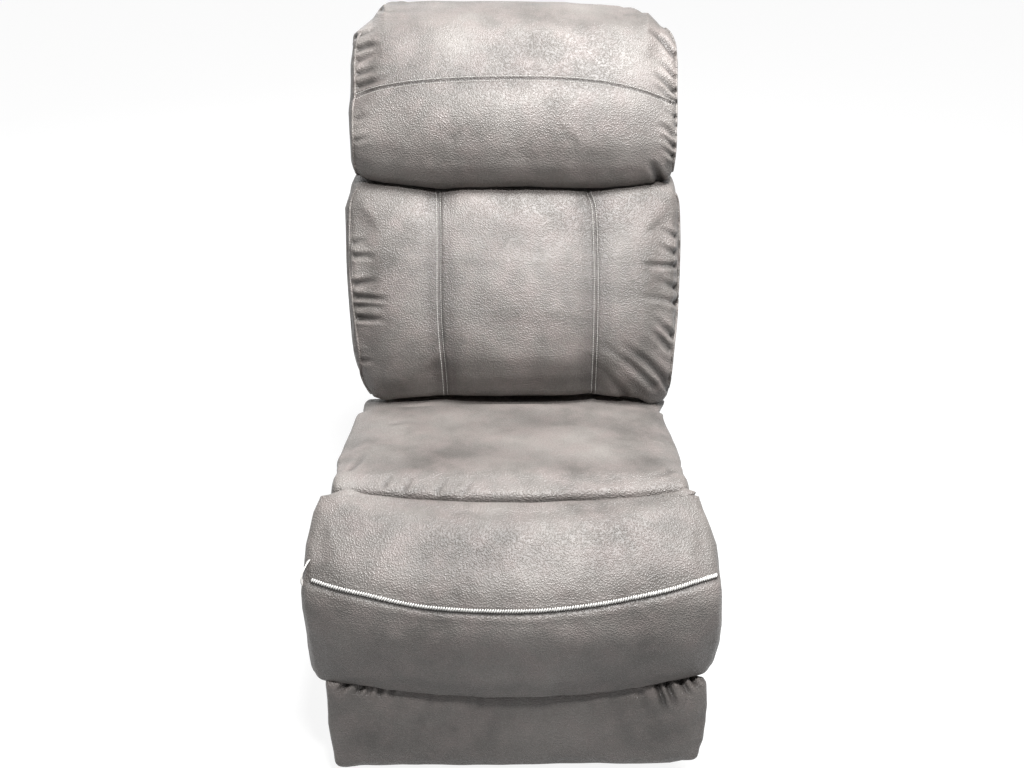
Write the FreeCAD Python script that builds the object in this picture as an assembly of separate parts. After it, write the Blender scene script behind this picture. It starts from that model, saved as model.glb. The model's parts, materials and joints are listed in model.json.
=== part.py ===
# Armless reclining seat, a wall-saving pull-strap recliner.
# Frame: +Z up, the sitter faces -Y, +X is to the right as seen from the front. The origin is on the floor.
# All lengths are in millimetres, and side views are written as (y, z) pairs.
import FreeCAD, Part
import os
from math import cos, hypot, radians, sin, tan

V = FreeCAD.Vector

# Side plates and their layers, from each end panel inwards
end_panel_inner = 251.5
end_panel_thick = 23.5
plate = 3.0
side_gap = 1.5
pitch = plate + side_gap
mount_x = end_panel_inner - plate
back_bracket_x = end_panel_inner - pitch
swing_x = back_bracket_x - pitch
seat_plate_x = swing_x - pitch
carrier_x = seat_plate_x - pitch
arm_x = carrier_x - pitch
steering_x = arm_x - pitch

# Pivots and fasteners
rivet_radius = 4.0
rivet_head_radius = 7.5
rivet_head = 1.0
head_gap = 0.2
running = 0.05
open_pivot_slack = 0.45
slot_slack = 0.9
link_end = 10.0
screw_radius = 2.5
screw_head_radius = 5.0
screw_depth = 16.0
soft_gap = 0.3

# Fixed base
glide_height = 30.0
glide_radius = 18.0
base_front = -365.0
base_rear = 240.0
base_top = 345.0
base_slope_start = 120.0
base_slope_drop = 75.0
apron_thick = 12.0
apron_low = 35.0
apron_high = 268.0
rear_rail_thick = 25.0
rear_rail_low = 60.0
rear_rail_high = 120.0
tie_bar_y = -280.0
tie_bar_width = 40.0
tie_bar_thick = 4.0
tie_bar_low = 10.0
tie_bar_ears = 85.0

# Swing links that carry the seat forwards as the back reclines
swing_pivot_z = 110.0
front_swing_y = -200.0
rear_swing_y = 120.0
swing_length = 139.3
swing_lean = 21.0
swing_extension = 50.0
mount_half_height = 22.0
mount_margin = 40.0
torque_tube_radius = 10.0

# Seat frame
frame_front = -358.0
frame_rear = 140.0
frame_low = 300.0
frame_top = 378.0
rail_thick = 25.0
front_board_thick = 12.0
front_board_low = 232.0
seat_plate_low = 192.0
plate_window_radius = 18.0
plate_window_places = (-60.0, 0.0)
hinge = (170.0, 340.0)
hinge_bolt_radius = 6.0
hinge_head_radius = 11.0
hinge_head = 4.0
hinge_lobe = 24.0

# Footrest linkage, as a side view of lengths and of angles above straight ahead
arm_pivot = (-215.0, 207.0)
arm_spacing = 75.0
arm_length = 165.0
arm_angle = 228.0
carrier_reach = 232.9
carrier_rise = 103.7
carrier_bend_reach = 100.0
carrier_bend_rise = 24.0
steering_crank = 28.0
steering_crank_angle = 152.57
bracket_crank = 43.7
bracket_crank_angle = 163.58
cross_tube_distance = 35.0
cross_tube_radius = 8.0

# Footrest
board_back = -395.0
board_thick = 15.0
board_low = 57.0
board_high = 205.0
board_half = 268.0
flange_width = 26.0
flange_low = 105.0
flange_high = 192.0
pad_front = -445.0
pad_low = 47.0
pad_high = 210.0
pad_half = 292.0

# Release: a pull strap at the sitter's right and the trip lever that it works
lever_pivot = (-262.0, 262.0)
lever_drop = 40.0
lever_reach = 38.0
lever_rise = 20.0
lever_end = 7.0
strap_y = -430.0
strap_z = 400.0
strap_width = 20.0
strap_height = 60.0
strap_bulge = 14.0
strap_thick = 2.0

# Back frame, drawn upright on the hinge and then leaned back
lean = 19.0
back_arm_end_radius = 13.0
post_inner = 217.0
post_depth = 35.0
post_low = 65.0
post_top = 680.0
back_rail_height = 55.0
middle_rail_at = 360.0
bracket_reach = 240.0
side_pad_low = 118.0
side_pad_half = 279.0
side_pad_bow = 4.0
shell_low = -25.0
shell_narrow = 85.0
shell_half_low = 234.0
shell_half = 283.0
shell_thick = 22.0
shell_bow = 12.0

# Serpentine springs
wire = 3.5
loop_pitch = 22.0
spring_half = 24.0
spring_count = 4
clip_wide = 16.0
clip_long = 18.0
clip_cover = 2.0

# Upholstery
bolster_half = 306.0
bolster_front = -484.0
bolster_bow = 34.0
bolster_low = 214.0
bolster_high = 473.0
bolster_back = -316.0
seat_half_front = 280.0
seat_half_rear = 265.0
seat_front = -314.0
seat_rear = 30.0
seat_tail = 124.0
seat_tail_top = 424.0
seat_front_top = 481.0
seat_rear_top = 449.0
seat_crown = 10.0
back_low = 430.0
back_high = 789.0
back_half = 291.0
back_bow = 26.0
channel_at = 131.0
channel_depth = 7.0
head_low = 790.5
head_high = 1074.0
head_half = 288.0
head_bow = 30.0
head_wrap_gap = 1.5
head_wrap_step = 7.0
head_wrap_short = 8.0

# Outlines of the soft pieces, as (height above the low edge, y of the front or how far a side is drawn in)
back_fronts = [(0.0, 46.0), (20.0, 42.0), (37.0, 38.0), (70.0, 36.0), (103.0, 40.0), (135.0, 48.0),
               (168.0, 59.0), (201.0, 74.0), (233.0, 92.0), (270.0, 115.0), (310.0, 143.0), (359.0, 168.0)]
back_sides = [(0.0, 24.0), (108.0, 6.0), (258.0, 0.0), (359.0, 4.0)]
head_fronts = [(0.0, 172.0), (30.0, 158.0), (60.0, 151.0), (85.0, 153.0), (110.0, 162.0), (135.0, 176.0),
               (160.0, 194.0), (195.0, 226.0), (230.0, 260.0), (283.5, 297.0)]
head_sides = [(0.0, 6.0), (100.0, 0.0), (163.5, 2.0), (283.5, 10.0)]
bolster_setbacks = [(0.0, 20.0), (50.0, 12.0), (100.0, 2.0), (140.0, 0.0), (158.0, 4.0), (178.0, 17.0),
                    (208.0, 46.0), (226.0, 72.0), (259.0, 105.0)]
bolster_sides = [(0.0, 8.0), (86.0, 1.0), (174.0, 0.0), (259.0, 12.0)]
bolster_lap_step = 3.0
pad_setbacks = [(0.0, 2.0), (81.5, 0.0), (163.0, 2.0)]
pad_sides = [(0.0, 4.0), (81.5, 0.0), (163.0, 2.0)]
pad_bow = 6.0
pad_side_bow = 5.0

# The seat's slices, as (share of its length from the front, drop of its top)
seat_slices = [(0.0, 12.0), (0.03, 4.0), (0.1, 0.0), (0.35, 0.0), (0.6, 0.0), (0.85, 0.0), (0.95, 3.0)]
seat_tail_step = 12.0


def ahead(point, length, angle):
    """The point at a length from another, at an angle above straight ahead."""
    y, z = point
    return (y - length * cos(radians(angle)), z + length * sin(radians(angle)))


def shifted(point, forwards, up):
    return (point[0] - forwards, point[1] + up)


def middle(a, b):
    return ((a[0] + b[0]) / 2, (a[1] + b[1]) / 2)


# Levels that follow from the sizes above
spring_top = frame_top + wire + clip_cover
seat_low = spring_top + soft_gap

# Pivot points at rest
front_swing_foot = (front_swing_y, swing_pivot_z)
rear_swing_foot = (rear_swing_y, swing_pivot_z)
front_swing_head = ahead(front_swing_foot, swing_length, 90 + swing_lean)
rear_swing_head = ahead(rear_swing_foot, swing_length, 90 + swing_lean)
rear_swing_tip = ahead(rear_swing_foot, swing_length + swing_extension, 90 + swing_lean)
rear_arm_pivot = shifted(arm_pivot, -arm_spacing, 0)
arm_end = ahead(arm_pivot, arm_length, arm_angle)
rear_arm_end = shifted(arm_end, -arm_spacing, 0)
steering_start = ahead(arm_end, steering_crank, steering_crank_angle)
carrier_bend = shifted(arm_end, carrier_bend_reach, carrier_bend_rise)
carrier_end = shifted(arm_end, carrier_reach, carrier_rise)
steering_end = ahead(carrier_end, bracket_crank, bracket_crank_angle)
cross_tube_at = ahead(arm_pivot, cross_tube_distance, arm_angle)


# Shape helpers

def block(x0, x1, y0, y1, z0, z1):
    return Part.makeBox(x1 - x0, y1 - y0, z1 - z0, V(x0, y0, z0))


def rod(x0, x1, point, radius):
    return Part.makeCylinder(radius, x1 - x0, V(x0, *point), V(1, 0, 0))


def side_plate(x0, thick, points):
    """A flat plate from its outline in the side view."""
    corners = [V(x0, y, z) for y, z in points]
    face = Part.Face(Part.makePolygon(corners + corners[:1]))
    return face.extrude(V(thick, 0, 0))


def bar(x0, start, end, radius=link_end, thick=plate):
    """A flat link with round ends."""
    y, z = end[0] - start[0], end[1] - start[1]
    length = hypot(y, z)
    across = (-z / length * radius, y / length * radius)
    corners = [
        (start[0] + across[0], start[1] + across[1]),
        (end[0] + across[0], end[1] + across[1]),
        (end[0] - across[0], end[1] - across[1]),
        (start[0] - across[0], start[1] - across[1]),
    ]
    tip = (end[0] + y / length * radius, end[1] + z / length * radius)
    tail = (start[0] - y / length * radius, start[1] - z / length * radius)
    at = [V(x0, *corner) for corner in corners]
    edges = [
        Part.makeLine(at[0], at[1]),
        Part.Arc(at[1], V(x0, *tip), at[2]).toShape(),
        Part.makeLine(at[2], at[3]),
        Part.Arc(at[3], V(x0, *tail), at[0]).toShape(),
    ]
    return Part.Face(Part.Wire(edges)).extrude(V(thick, 0, 0))


def joined(*shapes):
    whole = shapes[0].fuse(list(shapes[1:]))
    return whole.removeSplitter()


def bored(shape, points, radius):
    """The shape with round holes along X."""
    reach = end_panel_inner + end_panel_thick
    for point in points:
        shape = shape.cut(rod(-reach, reach, point, radius))
    return shape


def mirrored(shape):
    return shape.mirror(V(0, 0, 0), V(1, 0, 0))


def rivet(fixed_x, moving_x, point, radius=rivet_radius, head_radius=rivet_head_radius, fixed_head=rivet_head):
    """A shouldered rivet: tight in the fixed plate, running in the moving one."""
    outwards = moving_x > fixed_x
    inner = fixed_x if outwards else moving_x - head_gap
    outer = moving_x + plate + head_gap if outwards else fixed_x + plate
    inner_head = fixed_head if outwards else rivet_head
    outer_head = rivet_head if outwards else fixed_head
    pieces = [rod(inner, outer, point, radius)]
    if inner_head:
        pieces.append(rod(inner - inner_head, inner, point, head_radius))
    if outer_head:
        pieces.append(rod(outer, outer + outer_head, point, head_radius))
    if abs(moving_x - fixed_x) > pitch:
        low, high = min(fixed_x, moving_x) + plate, max(fixed_x, moving_x)
        shoulder = (low, high - head_gap) if outwards else (low + head_gap, high)
        pieces.append(rod(*shoulder, point, radius + 2))
    return joined(*pieces)


def save(node, *solids):
    """Writes one node, moved so that the origin is the middle of the whole seat's footprint."""
    shape = solids[0].copy() if len(solids) == 1 else Part.makeCompound(list(solids))
    rear_most = on_back(post_depth + soft_gap + shell_thick + shell_bow, post_top)[0]
    shape.translate(V((strap_bulge + soft_gap) / 2, -(bolster_front + rear_most) / 2, 0))
    shape.exportStep("parts/%s.step" % node)


def save_pair(node, shape):
    save(node, shape, mirrored(shape))


# Fixed base

mount_screw_points = [
    (front_swing_y - mount_margin / 2, swing_pivot_z + mount_half_height / 3),
    (front_swing_y + mount_margin, swing_pivot_z),
    (rear_swing_y - mount_margin, swing_pivot_z),
    (rear_swing_y + mount_margin / 2, swing_pivot_z + mount_half_height / 3),
]
tie_screw_points = [(tie_bar_y, tie_bar_ears - tie_bar_width / 2)]


def end_panel():
    outline = [
        (base_front, glide_height),
        (base_rear, glide_height),
        (base_rear, base_top - base_slope_drop),
        (base_slope_start, base_top),
        (base_front, base_top),
    ]
    panel = side_plate(end_panel_inner, end_panel_thick, outline)
    for point in mount_screw_points + tie_screw_points:
        panel = panel.cut(rod(end_panel_inner, end_panel_inner + screw_depth, point, screw_radius))
    return panel


def mounting_plate():
    plate_length = bar(mount_x, (front_swing_y - mount_margin / 2, swing_pivot_z),
                       (rear_swing_y + mount_margin / 2, swing_pivot_z), mount_half_height)
    shape = bored(plate_length, [front_swing_foot, rear_swing_foot], rivet_radius)
    window = bar(mount_x, (front_swing_y + 2 * mount_margin, swing_pivot_z),
                 (rear_swing_y - 2 * mount_margin, swing_pivot_z), mount_half_height / 2)
    return bored(shape.cut(window), mount_screw_points, screw_radius)


def wood_screw(head_x, point, outwards=True, depth=screw_depth, head=1.4):
    """A screw along X whose head rests on the face at head_x."""
    if outwards:
        shank = rod(head_x, head_x + depth, point, screw_radius)
        return joined(shank, rod(head_x - head, head_x, point, screw_head_radius))
    shank = rod(head_x - depth, head_x, point, screw_radius)
    return joined(shank, rod(head_x, head_x + head, point, screw_head_radius))


def tie_bar():
    low, high = tie_bar_low, tie_bar_low + tie_bar_thick
    y0, y1 = tie_bar_y - tie_bar_width / 2, tie_bar_y + tie_bar_width / 2
    strap = block(-end_panel_inner, end_panel_inner, y0, y1, low, high)
    ear = block(end_panel_inner - tie_bar_thick, end_panel_inner, y0, y1, low, tie_bar_ears)
    return bored(joined(strap, ear, mirrored(ear)), tie_screw_points, screw_radius)


def floor_glides():
    """Four tapered feet under the end panels."""
    outline = [V(0, 0, 0), V(glide_radius * 0.8, 0, 0), V(glide_radius, 0, glide_radius / 4),
               V(glide_radius * 0.62, 0, glide_height), V(0, 0, glide_height)]
    foot = Part.Face(Part.makePolygon(outline + outline[:1])).revolve(V(0, 0, 0), V(0, 0, 1), 360)
    x = end_panel_inner + end_panel_thick / 2
    feet = []
    for side in (-x, x):
        for y in (base_front + 1.4 * glide_radius, base_rear - 1.4 * glide_radius):
            copy = foot.copy()
            copy.translate(V(side, y, 0))
            feet.append(copy)
    return feet


def make_base():
    panel = end_panel()
    save("end_panel_right", panel)
    save("end_panel_left", mirrored(panel))
    save_pair("mounting_plates", mounting_plate())
    screws = [wood_screw(mount_x, point, depth=screw_depth + plate) for point in mount_screw_points]
    tie_face = end_panel_inner - tie_bar_thick
    screws += [wood_screw(tie_face, point, depth=screw_depth + tie_bar_thick) for point in tie_screw_points]
    save("mounting_screws", *screws, *[mirrored(screw) for screw in screws])
    save("front_tie_bar", tie_bar())
    save("rear_rail", block(-end_panel_inner, end_panel_inner, base_rear - rear_rail_thick, base_rear,
                            rear_rail_low, rear_rail_high))
    outer = end_panel_inner + end_panel_thick
    save("rear_apron", block(-outer, outer, base_rear, base_rear + apron_thick, apron_low, apron_high))
    save("floor_glides", *floor_glides())
    feet = [rivet(mount_x, swing_x, foot, fixed_head=0) for foot in (front_swing_foot, rear_swing_foot)]
    save("base_pivot_rivets", *feet, *[mirrored(foot) for foot in feet])


# Swing links

def make_swing_links():
    front = bored(bar(swing_x, front_swing_foot, front_swing_head), [front_swing_foot, front_swing_head],
                  rivet_radius + running)
    save_pair("front_swing_links", front)
    rear = bored(bar(swing_x, rear_swing_foot, rear_swing_tip), [rear_swing_foot, rear_swing_head],
                 rivet_radius + running)
    save_pair("rear_swing_links", bored(rear, [rear_swing_tip], rivet_radius))
    tube_at = middle(rear_swing_foot, rear_swing_head)
    tube = rod(-swing_x, swing_x, tube_at, torque_tube_radius)
    save("swing_torque_tube", tube.cut(rod(-swing_x, swing_x, tube_at, torque_tube_radius - 2)))
    save_pair("recline_pins", rivet(swing_x, back_bracket_x, rear_swing_tip))


# Seat frame

def plate_rivet_points():
    return [arm_pivot, rear_arm_pivot, front_swing_head, rear_swing_head]


def frame_screw_points():
    """Screws through the seat plate into the side rail."""
    z = (frame_low + frame_top) / 2
    start, end = frame_front + 2 * rail_thick, frame_rear - 2 * rail_thick
    return [(start + (end - start) * step / 4, z) for step in range(5)]


def seat_plate():
    outline = [
        (frame_front, frame_top),
        (hinge[0] - hinge_lobe / 2, frame_top),
        (hinge[0], hinge[1] - hinge_lobe),
        (rear_swing_head[0] + link_end, rear_swing_head[1] - link_end),
        (rear_arm_pivot[0], seat_plate_low),
        (arm_pivot[0] - link_end, seat_plate_low),
        (frame_front, frame_low),
    ]
    shape = side_plate(seat_plate_x, plate, outline)
    lobes = [rod(seat_plate_x, seat_plate_x + plate, point, link_end + 4) for point in plate_rivet_points()]
    lobes.append(rod(seat_plate_x, seat_plate_x + plate, hinge, hinge_lobe))
    shape = joined(shape, *lobes)
    shape = bored(shape, plate_rivet_points(), rivet_radius)
    shape = bored(shape, [hinge], hinge_bolt_radius)
    shape = bored(shape, frame_screw_points(), screw_radius)
    window_z = (frame_low + seat_plate_low) / 2 + plate_window_radius
    windows = [(y, window_z) for y in plate_window_places]
    return bored(shape, windows, plate_window_radius)


def side_rail():
    rail = block(seat_plate_x - rail_thick, seat_plate_x, frame_front + rail_thick, frame_rear - rail_thick,
                 frame_low, frame_top)
    for point in frame_screw_points():
        rail = rail.cut(rod(seat_plate_x - screw_depth, seat_plate_x, point, screw_radius))
    return rail


def corner_blocks():
    """Glued triangular blocks in the four inner corners of the seat frame."""
    leg = 2 * rail_thick
    x = seat_plate_x - rail_thick
    blocks = []
    for y, towards in ((frame_front + rail_thick, 1), (frame_rear - rail_thick, -1)):
        points = [V(x, y, frame_low), V(x - leg, y, frame_low), V(x, y + towards * leg, frame_low)]
        face = Part.Face(Part.makePolygon(points + points[:1]))
        solid = face.extrude(V(0, 0, (frame_top - frame_low) / 2))
        blocks += [solid, mirrored(solid)]
    return blocks


def serpentine(length):
    """A flat zigzag spring along +Y from y = 0, lying on z = 0."""
    count = int(length / loop_pitch)
    step = length / count
    bend = step / 2
    run = spring_half - bend
    sides = []
    for offset in (wire / 2, -wire / 2):
        edges = []
        for row in range(count + 1):
            heading = 1 if row % 2 == 0 else -1
            y = row * step - heading * offset
            start = -heading * (spring_half if row == 0 else run)
            end = heading * (spring_half if row == count else run)
            edges.append(Part.makeLine(V(start, y, 0), V(end, y, 0)))
            if row < count:
                radius = bend + heading * offset
                centre = (row + 0.5) * step
                tip = V(heading * (run + radius), centre, 0)
                far = V(end, (row + 1) * step + heading * offset, 0)
                edges.append(Part.Arc(V(end, y, 0), tip, far).toShape())
        sides.append(edges)
    first, last = sides
    close_start = Part.makeLine(first[0].Vertexes[0].Point, last[0].Vertexes[0].Point)
    close_end = Part.makeLine(first[-1].Vertexes[-1].Point, last[-1].Vertexes[-1].Point)
    outline = Part.Wire(Part.__sortEdges__(first + last + [close_start, close_end]))
    return Part.Face(outline).extrude(V(0, 0, wire))


def spring_set(span, half_width):
    """Springs side by side and the clips at their ends, on a flat frame from y = 0 to y = span."""
    springs = []
    clips = []
    inset = clip_long / 2
    for index in range(spring_count):
        x = half_width * (2 * index + 1 - spring_count) / spring_count
        spring = serpentine(span - 2 * inset)
        spring.translate(V(x, inset, 0))
        springs.append(spring)
        for end in (0, span - clip_long):
            clip = block(x - clip_wide / 2, x + clip_wide / 2, end, end + clip_long, 0, wire + clip_cover)
            clips.append(clip.cut(spring))
    return springs, clips


def make_seat_frame():
    right = seat_plate()
    save("seat_plate_right", right)
    lever_hole = bored(mirrored(right), [lever_pivot], rivet_radius)
    save("seat_plate_left", lever_hole)
    rail = side_rail()
    save("seat_side_rail_right", rail)
    save("seat_side_rail_left", mirrored(rail))
    save("seat_front_rail", block(-seat_plate_x, seat_plate_x, frame_front, frame_front + rail_thick,
                                  frame_low, frame_top))
    save("seat_rear_rail", block(-seat_plate_x, seat_plate_x, frame_rear - rail_thick, frame_rear,
                                 frame_low, frame_top))
    save("front_board", block(-seat_plate_x, seat_plate_x, frame_front - front_board_thick, frame_front,
                              front_board_low, frame_top))
    save("corner_blocks", *corner_blocks())
    screws = [wood_screw(seat_plate_x + plate, point, False, screw_depth + plate, rivet_head)
              for point in frame_screw_points()]
    save("frame_screws", *screws, *[mirrored(screw) for screw in screws])
    springs, clips = spring_set(frame_rear - frame_front, seat_plate_x - rail_thick)
    for solid in springs + clips:
        solid.translate(V(0, frame_front, frame_top))
    save("seat_springs", *springs)
    save("seat_spring_clips", *clips)
    rivets = [rivet(seat_plate_x, arm_x, point) for point in (arm_pivot, rear_arm_pivot)]
    rivets += [rivet(seat_plate_x, swing_x, point) for point in (front_swing_head, rear_swing_head)]
    lever_rivet = rivet(seat_plate_x, carrier_x, lever_pivot)
    save("seat_pivot_rivets", *rivets, *[mirrored(each) for each in rivets], mirrored(lever_rivet))
    save_pair("back_hinge_bolts", rivet(seat_plate_x, back_bracket_x, hinge, hinge_bolt_radius,
                                        hinge_head_radius, hinge_head))


# Footrest linkage

def carrier_link():
    shape = joined(bar(carrier_x, rear_arm_end, arm_end), bar(carrier_x, arm_end, carrier_bend),
                   bar(carrier_x, carrier_bend, carrier_end))
    shape = bored(shape, [rear_arm_end, arm_end], rivet_radius + running)
    return bored(shape, [carrier_end], rivet_radius)


def front_arm():
    shape = joined(bar(arm_x, arm_pivot, arm_end), bar(arm_x, arm_end, steering_start))
    shape = bored(shape, [arm_pivot], rivet_radius + running)
    return bored(shape, [arm_end, steering_start], rivet_radius)


def rear_arm():
    shape = bored(bar(arm_x, rear_arm_pivot, rear_arm_end), [rear_arm_pivot], rivet_radius + running)
    return bored(shape, [rear_arm_end], rivet_radius)


def steering_link():
    shape = bored(bar(steering_x, steering_start, steering_end), [steering_start], rivet_radius + running)
    return bored(shape, [steering_end], rivet_radius + open_pivot_slack)


def flange_screw_points():
    x = arm_x + plate + flange_width / 2
    return [(x, z) for z in (flange_low + screw_depth, flange_high - screw_depth)]


def footrest_bracket():
    """A plate that holds the board, with its front edge turned outwards."""
    web = side_plate(arm_x, plate, [
        shifted(carrier_end, 0, link_end),
        (board_back, flange_high),
        (board_back, flange_low),
        shifted(carrier_end, 0, -link_end),
    ])
    flange = block(arm_x, arm_x + plate + flange_width, board_back, board_back + plate, flange_low, flange_high)
    shape = joined(web, flange, bar(arm_x, carrier_end, steering_end))
    shape = bored(shape, [carrier_end], rivet_radius + running)
    shape = bored(shape, [steering_end], rivet_radius)
    for x, z in flange_screw_points():
        shape = shape.cut(Part.makeCylinder(screw_radius, plate, V(x, board_back, z), V(0, 1, 0)))
    return shape


def flange_screws():
    screws = []
    for x, z in flange_screw_points():
        start = board_back - board_thick + plate
        shank = Part.makeCylinder(screw_radius, board_back + plate - start, V(x, start, z), V(0, 1, 0))
        head = Part.makeCylinder(screw_head_radius, rivet_head, V(x, board_back + plate, z), V(0, 1, 0))
        screws.append(joined(shank, head))
    return screws


def footrest_board():
    board = block(-board_half, board_half, board_back - board_thick, board_back, board_low, board_high)
    tools = flange_screws()
    for screw in tools + [mirrored(tool) for tool in tools]:
        board = board.cut(screw)
    return board


def make_footrest():
    save_pair("footrest_front_arms", front_arm())
    tube = rod(-arm_x, arm_x, cross_tube_at, cross_tube_radius)
    save("footrest_cross_tube", tube.cut(rod(-arm_x, arm_x, cross_tube_at, cross_tube_radius - 2)))
    front_rivets = [rivet(arm_x, carrier_x, arm_end), rivet(arm_x, steering_x, steering_start)]
    save("front_arm_rivets", *front_rivets, *[mirrored(each) for each in front_rivets])
    save_pair("footrest_rear_arms", rear_arm())
    save_pair("rear_arm_rivets", rivet(arm_x, carrier_x, rear_arm_end))
    save_pair("footrest_carrier_links", carrier_link())
    save_pair("carrier_rivets", rivet(carrier_x, arm_x, carrier_end))
    save_pair("footrest_steering_links", steering_link())
    save_pair("footrest_brackets", footrest_bracket())
    save_pair("bracket_rivets", rivet(arm_x, steering_x, steering_end))
    screws = flange_screws()
    save("footrest_screws", *screws, *[mirrored(screw) for screw in screws])
    save("footrest_board", footrest_board())
    save("footrest_pad", footrest_pad())


# Release

def make_release():
    low = shifted(lever_pivot, 0, -lever_drop)
    front = shifted(lever_pivot, lever_reach, lever_rise)
    lever = joined(bar(carrier_x, lever_pivot, low, lever_end), bar(carrier_x, lever_pivot, front, lever_end))
    lever = bored(lever, [lever_pivot], rivet_radius + running)
    lever = bored(lever, [front], rivet_radius / 2)
    save("trip_lever", mirrored(lever))
    save("pull_strap", mirrored(pull_strap()))


def pull_strap():
    """A loop of webbing whose flat leg lies on the bolster's side."""
    x = bolster_half + soft_gap
    outline = []
    for inset in (0.0, strap_thick):
        inner = x + inset
        outer = x + strap_bulge - inset
        low, high = strap_z - strap_height / 2 + inset, strap_z + strap_height / 2 - inset
        ends = [V(inner, strap_y, low), V(inner, strap_y, high)]
        arc = Part.Arc(ends[1], V(outer, strap_y, strap_z), ends[0]).toShape()
        outline.append(Part.Wire([Part.makeLine(*ends), arc]))
    face = Part.Face(outline[0]).cut(Part.Face(outline[1]))
    band = face.Faces[0].extrude(V(0, strap_width, 0))
    band.translate(V(0, -strap_width / 2, 0))
    return band


# Back frame

def on_back(across, along):
    """A point of the back frame, across from its front plane and along it from the hinge."""
    turn = radians(lean)
    return (hinge[0] + across * cos(turn) + along * sin(turn), hinge[1] - across * sin(turn) + along * cos(turn))


def leaned(shape):
    """Moves a shape drawn with the hinge at y = 0, z = 0 to its place on the back."""
    shape = shape.copy()
    shape.rotate(V(0, 0, 0), V(1, 0, 0), -lean)
    shape.translate(V(0, *hinge))
    return shape


def back_bracket_points():
    return [on_back(post_depth / 2, bracket_reach - step) for step in (0.0, 60.0, 120.0)]


def back_post():
    post = leaned(block(post_inner, back_bracket_x, 0, post_depth, post_low, post_top))
    for point in back_bracket_points():
        post = post.cut(rod(back_bracket_x - screw_depth, back_bracket_x, point, screw_radius))
    return post


def recline_slot():
    """The slot in the bracket's lower arm, along which the rear swing link's pin slides."""
    drop = hypot(hinge[0] - rear_swing_tip[0], hinge[1] - rear_swing_tip[1])
    rise = hinge[1] - rear_swing_head[1] - swing_extension
    share = rise / drop
    heel = (hinge[0] + (rear_swing_tip[0] - hinge[0]) * share, hinge[1] + (rear_swing_tip[1] - hinge[1]) * share)
    return bar(back_bracket_x, heel, rear_swing_tip, rivet_radius + slot_slack)


def back_bracket():
    top = on_back(post_depth / 2, bracket_reach)
    foot = on_back(post_depth / 2, post_low + post_depth / 2)
    shape = joined(bar(back_bracket_x, rear_swing_tip, hinge, back_arm_end_radius),
                   bar(back_bracket_x, hinge, foot, hinge_lobe / 1.5),
                   bar(back_bracket_x, foot, top, post_depth / 2))
    shape = bored(shape.cut(recline_slot()), [hinge], hinge_bolt_radius + running)
    return bored(shape, back_bracket_points(), screw_radius)


def back_side_pad():
    """The padded board that closes the side of the back frame above the end panel."""
    narrow = back_bracket_x + plate + rivet_head + soft_gap
    above_bracket = bracket_reach + post_depth
    parts = []
    for inner, low, high in ((narrow, side_pad_low, post_top),
                             (back_bracket_x + soft_gap, above_bracket, post_top)):
        front, rear = V(side_pad_half, 0, low), V(side_pad_half, post_depth, low)
        edges = [Part.makeLine(V(inner, 0, low), front),
                 Part.Arc(front, V(side_pad_half + side_pad_bow, post_depth / 2, low), rear).toShape(),
                 Part.makeLine(rear, V(inner, post_depth, low)),
                 Part.makeLine(V(inner, post_depth, low), V(inner, 0, low))]
        parts.append(Part.Face(Part.Wire(edges)).extrude(V(0, 0, high - low)))
    return leaned(joined(*parts))


def outside_back():
    """The upholstered rear shell: narrow between the end panels, wide above them."""
    rows = [
        (shell_low, shell_half_low), (shell_narrow, shell_half_low), (shell_narrow + 50, shell_half - 14),
        (shell_narrow + 160, shell_half), (post_top - 150, shell_half), (post_top - 25, shell_half - 12),
        (post_top, shell_half - 34),
    ]
    wires = []
    front = post_depth + soft_gap
    for along, half in rows:
        rear = front + shell_thick
        corners = [V(-half, front, along), V(half, front, along), V(half, rear, along), V(-half, rear, along)]
        edges = [Part.makeLine(corners[3], corners[0]), Part.makeLine(corners[0], corners[1]),
                 Part.makeLine(corners[1], corners[2]),
                 Part.Arc(corners[2], V(0, rear + shell_bow, along), corners[3]).toShape()]
        wires.append(Part.Wire(edges))
    return leaned(Part.makeLoft(wires, True, True))


def make_back_frame():
    post = back_post()
    save("back_post_right", post)
    save("back_post_left", mirrored(post))
    rails = {
        "back_bottom_rail": (post_low, post_low + back_rail_height, 0.0),
        "back_middle_rail": (middle_rail_at, middle_rail_at + back_rail_height, post_depth / 2),
        "back_top_rail": (post_top - back_rail_height, post_top, 0.0),
    }
    for node, (low, high, front) in rails.items():
        save(node, leaned(block(-post_inner, post_inner, front, post_depth, low, high)))
    springs, clips = spring_set(post_top - post_low, post_inner)
    upright = []
    for solid in springs + clips:
        solid.rotate(V(0, 0, 0), V(1, 0, 0), 90)
        solid.translate(V(0, 0, post_low))
        upright.append(leaned(solid))
    save("back_springs", *upright[:len(springs)])
    save("back_spring_clips", *upright[len(springs):])
    save_pair("back_brackets", back_bracket())
    save_pair("back_side_pads", back_side_pad())
    screws = [wood_screw(back_bracket_x + plate, point, False, screw_depth + plate, rivet_head)
              for point in back_bracket_points()]
    save("bracket_screws", *screws, *[mirrored(screw) for screw in screws])
    save("outside_back", outside_back())


# Upholstery

def smooth(keys, at):
    """The value at a place, on a curve through (place, value) keys."""
    places = [place for place, value in keys]
    values = [value for place, value in keys]
    last = len(keys) - 1
    index = max([i for i in range(last) if places[i] <= at] or [0])
    span = places[index + 1] - places[index]
    t = min(max((at - places[index]) / span, 0.0), 1.0)
    before = values[max(index - 1, 0)]
    after = values[min(index + 2, last)]
    p, q = values[index], values[index + 1]
    return 0.5 * (2 * p + (q - before) * t + (2 * before - 5 * p + 4 * q - after) * t ** 2
                  + (3 * p - before - 3 * q + after) * t ** 3)


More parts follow.
